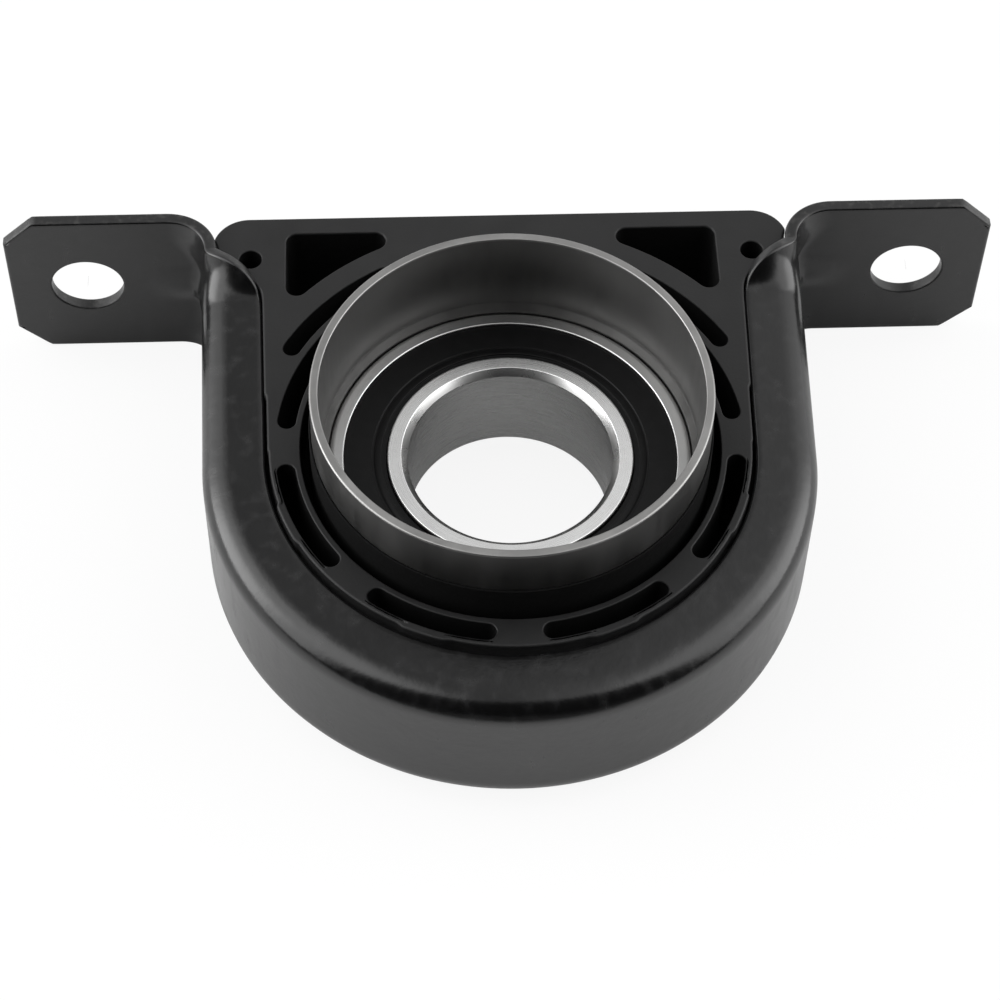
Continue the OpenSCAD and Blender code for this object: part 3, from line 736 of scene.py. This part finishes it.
# %% Turn the punch
FLARE, FLARE_STEPS, PAST, AT_AXIS = 0.35, 6, 1.0, 0.01
hole_r = HOLE_D / 2
bore = []
for k in range(FLARE_STEPS + 1):
    a = math.radians(90 * k / FLARE_STEPS)
    bore.append((hole_r + FLARE * (1 - math.cos(a)), FLARE * math.sin(a) - FLARE))
punch = sweep("punch", [
    (AT_AXIS, PAST), (hole_r + FLARE, PAST), *reversed(bore), *[(r, -SHEET - z) for r, z in bore],
    (hole_r + FLARE, -SHEET - PAST), (AT_AXIS, -SHEET - PAST)], cut_edge)
upright_turn = Matrix.Rotation(-QUARTER, 4, "X")
cut = bmesh.new()
for side in (-1, 1):
    cut.from_mesh(punch.data)
    fresh = cut.verts[-len(punch.data.vertices):]
    hole = (side * HOLE_SPACING / 2 * MM, EAR_HEIGHT * MM, STRAP_SIZES["Strap middle"] * MM)
    bmesh.ops.transform(cut, matrix=Matrix.Translation(hole) @ upright_turn, verts=fresh)
cut.to_mesh(punch.data)
cut.free()
print("the punch is", HOLE_D, "mm wide")

# %% Punch the bolt holes
punching = strap.modifiers.new("bolt_holes", "BOOLEAN")
punching.operation, punching.solver, punching.object = "DIFFERENCE", "EXACT", punch
freeze(strap)
bpy.data.objects.remove(punch)

MERGE = 0.002
pressed = bmesh.new()
pressed.from_mesh(strap.data)
bmesh.ops.remove_doubles(pressed, verts=pressed.verts, dist=MERGE * MM)
bmesh.ops.dissolve_degenerate(pressed, edges=pressed.edges, dist=MERGE * MM)
print("open edges in the strap:", sum(len(e.link_faces) != 2 for e in pressed.edges))
pressed.to_mesh(strap.data)
pressed.free()
dress(strap, "housing", "black_paint", "bracket")

# %% [markdown]
# ## The rubber cushion
# The cushion is one moulding: a thick plate with two rows of curved slots that let the bearing
# shake, two windows in the upper corners, two blind holes and a deep groove round the sleeve. It
# is made from flat loops. Each loop is carried down along its own rounded side outline, so every
# slot gets a soft lip, and only the two flat faces are filled. The outside follows the strap's
# inner edge, so the same rule is needed once more in plain Python.

# %% Find the strap's inner edge
def ease(x):
    """A smooth step from 0 to 1."""
    c = min(1, max(0, x))
    return c * c * (3 - 2 * c)


def curled_edge(runout, bend, gap):
    """Where the inner corner of the strap's edge lies, at shares of the run-out and the bend."""
    web, r, reach = (STRAP_SIZES[k] for k in ("Web half", "Shoulder radius", "Channel reach"))
    reach += (STRAP_SIZES["Ear half"] - reach) * ease(runout) ** WIDEN
    last = STRAP_ANGLES["Bend curl"]
    uncurl = ease(1 - (1 - runout) / UNCURL)
    curl = QUARTER - (QUARTER - last) * uncurl - last * ease(bend)
    shoulder = r * (1 + OPENING * uncurl)
    turned = min(curl, (reach - web) / shoulder)
    flat = max(0, reach - web - shoulder * curl)
    depth = shoulder * (1 - math.cos(turned)) + flat * math.sin(curl) \
        + SHEET * math.cos(turned) + gap
    across = web + shoulder * math.sin(turned) + flat * math.cos(curl) - SHEET * math.sin(turned)
    half_gusset = STRAP_SIZES["Gusset width"] / 2
    share = ease((across - half_gusset) / (web + r - half_gusset)) * runout
    heading = splay + (QUARTER - splay) * bend
    place = leg_foot + leg_dir * (STRAP_SIZES["Straight leg"] + STRAP_SIZES["Run-out"] * runout)
    c, s = math.cos(heading), math.sin(heading)
    place += bend_r * Vector((math.cos(splay) - c, s - math.sin(splay)))
    tangent = (1 - math.sin(splay)) / math.cos(splay)
    place += share * (STRAP_SIZES["Edge bend"] - bend_r) * Vector((tangent - c, s - 1))
    return place + depth * Vector((-c, s))


print("the strap's inner edge starts at", [round(a, 2) for a in curled_edge(0, 0, 0)], "mm")

# %% Draw the cushion's loops
FACE_Z, REAR_Z, CORE_TOP, CORE_LOW = 13.7, -16.7, 10.2, -13.2
CUSHION_R, CUSHION_TOP, TOP_CORNER, EDGE_GAP = 50.08, 50.5, 6.5, 0.15
SLOT_HALF, INNER_ROW, OUTER_ROW, INNER_ANGLE, OUTER_ANGLE = 1.55, 38.21, 42.61, 29.0, 31.0
WINDOW_R, WINDOW_OUT, WINDOW_BELOW, WINDOW_CORNER = 48.3, 38.2, 3.7, 1.9
SLOT_STEPS, END_STEPS, WINDOW_STEPS, CORNER_STEPS = 22, 14, 20, 10


def arc_points(centre, radius, first, last, steps, into):
    """Points (x, y, nx, ny) on an arc; into is 1 where the rubber lies inside it, or -1 outside."""
    made = []
    for k in range(steps + 1):
        a = math.radians(first + (last - first) * k / steps)
        c, s = math.cos(a), math.sin(a)
        made.append((centre[0] + radius * c, centre[1] + radius * s, into * c, into * s))
    return made


def slot_loop(radius, middle, angle):
    """A curved slot with round ends."""
    first, last = middle - angle / 2, middle + angle / 2
    ends = [(radius * math.cos(a), radius * math.sin(a)) for a in map(math.radians, (first, last))]
    return arc_points((0, 0), radius + SLOT_HALF, first, last, SLOT_STEPS, -1)[:-1] \
        + arc_points(ends[1], SLOT_HALF, last, last + 180, END_STEPS, -1)[:-1] \
        + arc_points((0, 0), radius - SLOT_HALF, last, first, SLOT_STEPS, 1)[:-1] \
        + arc_points(ends[0], SLOT_HALF, first + 180, first + 360, END_STEPS, -1)[:-1]


def window_loop(side):
    """A three-cornered window, whose long side runs round the bearing."""
    corner, reach = WINDOW_CORNER, WINDOW_R + WINDOW_CORNER
    a = (WINDOW_OUT - corner, CUSHION_TOP - WINDOW_BELOW - corner)
    b = (math.sqrt(reach ** 2 - a[1] ** 2), a[1])
    c = (a[0], math.sqrt(reach ** 2 - a[0] ** 2))
    at_b, at_c = (math.degrees(math.atan2(p[1], p[0])) for p in (b, c))
    loop = arc_points((0, 0), WINDOW_R, at_b, at_c, WINDOW_STEPS, 1)[:-1]
    for middle, first, last in ((c, at_c + 180, 360), (a, 0, 90), (b, 90, at_b + 180)):
        loop += arc_points(middle, corner, first, last, CORNER_STEPS, -1)
    loop.pop()
    return [(side * x, y, side * nx, ny) for x, y, nx, ny in loop]


def circle_loop(x, y, radius, steps):
    """A round hole."""
    return arc_points((x, y), radius, 0, 360, steps, -1)[:-1]


print("an inner slot has", len(slot_loop(INNER_ROW, 0, INNER_ANGLE)), "points")

# %% [markdown]
# The cushion has a face between the strap's curled edges and a wider core behind them. Both
# outlines are drawn together, as pairs of points, so that one can be joined to the other later.
# Over the slots that run under the strap the face's edge is drawn in a little, as the real rubber
# is.

# %% Draw the right half of the cushion's outside
FACE_R, PAST_EDGE = 41.25, 9
RUNOUT_POINTS, FOLD_POINTS, ARC_POINTS = 40, 20, 90
LEG_POINTS, CORNER_POINTS, TOP_POINTS = 60, 24, 30


def half_outside():
    """The right half of the outside, upwards, as pairs of core point and face point."""
    pairs = []
    foot = math.degrees(splay)
    edge = [curled_edge(k / RUNOUT_POINTS, 0, EDGE_GAP) for k in range(RUNOUT_POINTS + 1)]
    edge += [curled_edge(1, k / FOLD_POINTS, EDGE_GAP) for k in range(1, FOLD_POINTS)]
    outwards = Vector((math.cos(splay), -math.sin(splay)))
    foot_edge = leg_foot - (CURL_DEPTH + EDGE_GAP) * outwards
    line = [(p.y, p.x) for p in [foot_edge, *edge]]
    line.append((line[-1][0] + PAST_EDGE, line[-1][1]))

    def edge_x(y):
        for (y0, x0), (y1, x1) in zip(line, line[1:]):
            if y <= y1:
                return x0 + (x1 - x0) * (y - y0) / (y1 - y0)
        return line[-1][1]

    for k in range(ARC_POINTS + 1):
        a = math.radians(-90 + (90 - foot) * k / ARC_POINTS)
        c, s = math.cos(a), math.sin(a)
        pairs.append(((CUSHION_R * c, CUSHION_R * s), (FACE_R * c, FACE_R * s)))
    corner_y = CUSHION_TOP - TOP_CORNER
    corner_x = (CUSHION_R - TOP_CORNER + math.sin(splay) * corner_y) / math.cos(splay)
    start = Vector(pairs[-1][0])
    end = Vector((corner_x, corner_y)) + TOP_CORNER * outwards
    core = [start.lerp(end, k / LEG_POINTS) for k in range(1, LEG_POINTS)]
    for k in range(CORNER_POINTS + 1):
        a = math.radians(-foot + (90 + foot) * k / CORNER_POINTS)
        c, s = math.cos(a), math.sin(a)
        core.append(Vector((corner_x + TOP_CORNER * c, corner_y + TOP_CORNER * s)))
    for k in range(1, TOP_POINTS + 1):
        core.append(Vector((corner_x * (1 - k / TOP_POINTS), CUSHION_TOP)))
    for p in core:
        pairs.append(((p.x, p.y), (min(p.x, edge_x(p.y)), p.y)))
    return pairs


right_half = half_outside()
print("half of the outside has", len(right_half), "points")

# %% Close the cushion's outside
HIDDEN_SLOTS = (-90, -45, 0, 180, -135)
NOTCH, NOTCH_PAST, NOTCH_FADES, NOTCH_REACH = 0.35, 1.2, 0.9, 2.0


def notched(x, y):
    """The face's edge, drawn in where a slot of the outer row runs under the strap."""
    angle, depth = math.degrees(math.atan2(y, x)), 0
    for middle in HIDDEN_SLOTS:
        off = abs((angle - middle + 180) % 360 - 180) - (OUTER_ANGLE / 2 + NOTCH_PAST)
        depth = max(depth, min(1, max(0, -off / NOTCH_FADES + 0.5)))
    away = math.hypot(x, y)
    shrink = 1 - NOTCH * depth / away * (away < FACE_R + NOTCH_REACH)
    return x * shrink, y * shrink


def with_normals(points):
    """Points of a closed loop that runs counterclockwise, with their outward normals."""
    made = []
    for i, (x, y) in enumerate(points):
        (xa, ya), (xb, yb) = points[i - 1], points[(i + 1) % len(points)]
        long = math.hypot(xb - xa, yb - ya)
        made.append((x, y, (yb - ya) / long, (xa - xb) / long))
    return made


around = right_half + [((-b[0], b[1]), (-a[0], a[1])) for b, a in reversed(right_half[1:-1])]
core_loop = with_normals([b for b, a in around])
face_loop = with_normals([notched(*a) for b, a in around])
print("the outside has", len(around), "points")

# %% [markdown]
# The loops become one closed mesh. A hole's side outline is a list of steps: how far into the
# rubber, at which height and with which rounding. The walls below the lips get the duller rubber,
# whose blacker colour is painted shade.

# %% Carry the loops into the rubber
LIP, GROOVE_R, SKIN_R, ROUND_SKIN = 0.35, 35.56, 33.96, 0.1
mould = bmesh.new()
front_edges, rear_edges = [], []


def carry(rows, closed_end=False):
    """Joins rows of points, from the front to the rear, into a wall, and returns its faces."""
    rings_made = [[mould.verts.new((x * MM, y * MM, z * MM)) for x, y, z in row] for row in rows]
    count, faces = len(rings_made[0]), []
    for low_ring, high_ring in zip(rings_made, rings_made[1:]):
        for j in range(count):
            k = (j + 1) % count
            faces.append(mould.faces.new((low_ring[j], low_ring[k], high_ring[k], high_ring[j])))
    loops = [(front_edges, rings_made[0])] + ([] if closed_end else [(rear_edges, rings_made[-1])])
    for edges, ring in loops:
        edges += [mould.edges.get((ring[j], ring[(j + 1) % count])) for j in range(count)]
    if closed_end:
        faces.append(mould.faces.new(rings_made[-1]))
    return faces


def rows_along(loop, side):
    """The loop at every step of a side outline of (into the rubber, height, rounding)."""
    steps = rounded(side, False)
    return [[(x - p.x * nx, y - p.x * ny, p.y) for x, y, nx, ny in loop] for p in steps]


def sink(loop, side, closed_end=False):
    """Carries one loop along a side outline, with the painted shade rubber below the lips and next
    to the sleeve.
    """
    for face in carry(rows_along(loop, side), closed_end):
        middle = face.calc_center_median() / MM
        deep = REAR_Z + 2 * LIP < middle.z < FACE_Z - 2 * LIP
        # Faces deep in a hole, and those next to the sleeve, take the rubber whose blacker colour
        # is painted shade.
        face.material_index = int(deep or middle.xy.length < SKIN_R + ROUND_SKIN)


print("the lips are rounded by", LIP, "mm")

# %% Sink the slots, windows and holes
SLOT_COUNT, OPEN_SLOTS, SLOT_FILL, WINDOW_FILL = 8, (45, 90, 135), 0.5, 0.9
BLIND_X, BLIND_Y, BLIND_R, BLIND_DEPTH, BLIND_STEPS = 44.5, CUSHION_TOP - 9.4, 2.0, 7.0, 32


def through(fill):
    """The side outline of a hole right through, whose lips reach so far onto the faces."""
    return [(fill, FACE_Z, 0), (0, FACE_Z, LIP), (0, REAR_Z, LIP), (fill, REAR_Z, 0)]


for i in range(SLOT_COUNT):
    sink(slot_loop(INNER_ROW, 270 + (i + 0.5) * 360 / SLOT_COUNT, INNER_ANGLE), through(SLOT_FILL))
for middle in OPEN_SLOTS:
    sink(slot_loop(OUTER_ROW, middle, OUTER_ANGLE), through(SLOT_FILL))
for side in (1, -1):
    sink(window_loop(side), through(WINDOW_FILL))
blind_foot = FACE_Z - BLIND_DEPTH
for side in (1, -1):
    sink(circle_loop(side * BLIND_X, BLIND_Y, BLIND_R, BLIND_STEPS),
         [(0.6, FACE_Z, 0), (0, FACE_Z, 0.25), (0, blind_foot, 0.5), (-1.2, blind_foot, 0)], True)
print("slots:", SLOT_COUNT + len(OPEN_SLOTS), "windows: 2, blind holes: 2")

# %% [markdown]
# The rubber is bonded to the sleeve, and a thin skin of it climbs the steel in front of the face.
# So the groove's side outline goes down, turns, climbs as the skin, and only then follows the
# sleeve to the rear groove.

# %% Sink the groove round the sleeve
SEAT_R, GROOVE_DEPTH, GROOVE_STEPS = 32.51, 8.0, 200
SKIN, SKIN_TOP, NECK_TOP, NECK_LOW = 0.38, 19.0, 11.9, 9.6
seat, skin, film = (r - GROOVE_R for r in (SEAT_R, SKIN_R, SKIN_R - SKIN))
front_foot, rear_foot = FACE_Z - GROOVE_DEPTH, REAR_Z + GROOVE_DEPTH
sink(circle_loop(0, 0, GROOVE_R, GROOVE_STEPS), [
    (0.5, FACE_Z, 0), (0, FACE_Z, 0.3), (0, front_foot, 0.5), (skin, front_foot, 0.4),
    (skin, SKIN_TOP, 0.15), (film, SKIN_TOP, 0), (film, NECK_TOP, 0), (seat, NECK_LOW, 0),
    (seat, rear_foot, 0.2), (0, rear_foot, 0.5), (0, REAR_Z, 0.3), (0.5, REAR_Z, 0)])
print("the rubber skin ends", round(SKIN_TOP - FACE_Z, 1), "mm above the face")

# %% [markdown]
# The outside goes from the face's edge out to the core, round it and back in to the rear face.
# Where the core's corner lies in the strap's shoulder it is rounded, and the rounding dies out
# where core and face meet.

# %% Wrap the outside and fill the faces
OUTER_LIP, OUTER_FILL, RELIEF, RELIEF_STEPS = 0.6, 0.9, 2.2, 4
reliefs = [min(RELIEF, math.hypot(c[0] - f[0], c[1] - f[1])) for c, f in zip(core_loop, face_loop)]
rows = rows_along(face_loop, [(OUTER_FILL, FACE_Z, 0), (0, FACE_Z, OUTER_LIP), (0, CORE_TOP, 0)])
for end, sign in ((CORE_TOP, 1), (CORE_LOW, -1)):
    bend = []
    for k in range(RELIEF_STEPS + 1):
        a = math.radians(90 * k / RELIEF_STEPS)
        into, down = 1 - math.sin(a), sign * (1 - math.cos(a))
        bend.append([(x - r * into * nx, y - r * into * ny, end - down * r)
                     for (x, y, nx, ny), r in zip(core_loop, reliefs)])
    rows += bend[::sign]
rows += rows_along(face_loop, [(0, CORE_LOW, 0), (0, REAR_Z, OUTER_LIP), (OUTER_FILL, REAR_Z, 0)])
carry(rows)

for edges, normal in ((front_edges, (0, 0, 1)), (rear_edges, (0, 0, -1))):
    bmesh.ops.triangle_fill(mould, use_beauty=True, edges=edges, normal=normal)
bmesh.ops.remove_doubles(mould, verts=mould.verts, dist=MERGE * MM)
bmesh.ops.recalc_face_normals(mould, faces=mould.faces)
for face in mould.faces:
    face.smooth = True
print("open edges in the cushion:", sum(len(e.link_faces) != 2 for e in mould.edges))

# %% Make the cushion
cushion_mesh = bpy.data.meshes.new("cushion")
mould.to_mesh(cushion_mesh)
mould.free()
cushion_mesh.materials.append(cushion_rubber)
cushion_mesh.materials.append(painted_shade_rubber)
cushion = bpy.data.objects.new("cushion", cushion_mesh)
scene.collection.objects.link(cushion)
dress(cushion, "housing", "cushion_rubber", "rubber_cushion")

# %% [markdown]
# ## Sleeve, races and seals
# Each outline below is a list of corners: distance from the axis, height, and rounding, in
# millimetres. The sleeve has a wider skirt at each end and a rolled bead that stops the bearing.

# %% Turn the sleeve
SLEEVE_REAR = -18.75
sleeve = turn("sleeve", [
    (32.06, SLEEVE_FRONT, 0.22), (33.56, SLEEVE_FRONT, 0.32), (33.56, 11.47, 1.6),
    (32.51, 10.0, 1.2), (32.51, -8.57, 1.5), (31.61, -11.45, 1.2), (33.56, -14.3, 1.4),
    (33.56, SLEEVE_REAR, 0.3), (32.06, SLEEVE_REAR, 0.25), (32.06, -14.3, 1.4),
    (29.21, -11.45, 0.7), (29.21, -10.01, 0.7), (31.01, -10.01, 0.1), (31.01, 10.0, 0.6),
    (32.06, 11.47, 0.8)], sleeve_steel)
dress(sleeve, "housing", "sleeve_steel", "bearing_sleeve")

# %% [markdown]
# A race is the same at the front and at the rear, so half of its corners are written down and
# flipped. The ball track between them is an arc. The seals are flat rings with a thin running
# lip, one the mirror of the other.

# %% Turn the races
def track(centre, radius, first, last, steps=16):
    """Corners along a ball track, a round groove of the given radius."""
    return [(centre + radius * math.cos(a), radius * math.sin(a), 0)
            for a in (math.radians(first + (last - first) * k / steps) for k in range(steps + 1))]


def flipped(corners):
    """The same corners on the rear side, in the order that goes on round the outline."""
    return [(r, -z, f) for r, z, f in reversed(corners)]


HALF_WIDTH, TRACK_R, OUTER_TRACK, INNER_TRACK, RISE = 10.0, 4.128, 28.239, 20.261, 1.6
half_track = math.degrees(math.acos((TRACK_R - RISE) / TRACK_R))
outer_half = [(26.639, 8.05, 0.15), (28.739, 8.05, 0.05), (28.739, 8.80, 0.1), (28.339, 9.2, 0.1),
              (28.339, HALF_WIDTH, 0.25), (31.0, HALF_WIDTH, 1.0)]
outer_race = turn("outer_ring", [
    *outer_half, *flipped(outer_half),
    *track(OUTER_TRACK - TRACK_R, TRACK_R, -half_track, half_track)], outer_steel)
dress(outer_race, "housing", "race_steel", "outer_race")

inner_half = [(17.5, 8.9, 0.18), (18.6, HALF_WIDTH, 0.18), (20.961, HALF_WIDTH, 0.3),
              (20.961, 7.75, 0.1), (21.861, 7.75, 0.12)]
inner_race = turn("inner_ring", [
    *inner_half, *track(INNER_TRACK + TRACK_R, TRACK_R, 180 - half_track, 180 + half_track),
    *flipped(inner_half)], race_steel)
dress(inner_race, "inner_ring", "race_steel", "inner_race")

# %% Turn the seals
seal_side = [(21.061, 8.05, 0.1), (21.061, 9.25, 0.2), (21.961, 9.25, 0.08), (21.961, 9.55, 0.15),
             (23.1, 9.55, 0), (23.25, 9.40, 0.05), (23.5, 9.40, 0.05), (23.65, 9.55, 0.05),
             (28.329, 9.55, 0.2), (28.329, 9.19, 0.1), (28.729, 8.79, 0.1), (28.729, 8.05, 0.1)]
for name, node, up in (("front_seal", "seal_front", 1), ("rear_seal", "seal_rear", -1)):
    side = [(r, up * z, f) for r, z, f in seal_side][::up]
    dress(turn(name, side, seal_rubber), "housing", "seal_rubber", node)

# %% [markdown]
# ## What stays from the CAD model
# The balls, their cage and its rivets are closed in by the seals. Their CAD shapes are right, so
# they only get their finishes.

# %% Give the inner pieces their finishes
INSIDE = {"cage_steel": cage_steel, "ball_steel": ball_steel}
for entry in frame["record"]["subparts"]:
    if entry["material_slot"] in INSIDE:
        node = frame["nodes"][entry["node"]]
        node.data.materials.clear()
        node.data.materials.append(INSIDE[entry["material_slot"]])
print("inner pieces:", sum(e["material_slot"] in INSIDE for e in frame["record"]["subparts"]))

# %% [markdown]
# ## Sizes
# The dressed part's box is measured against the solids' box, and the difference is printed. The
# dressed part must not outgrow the solids.

# %% Measure how much the part grew
made_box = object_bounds()
was, now = ([*low, *high] for low, high in (cad_box, made_box))
print("grown by", [round((b - a) / MM, 3) for a, b in zip(was, now)])
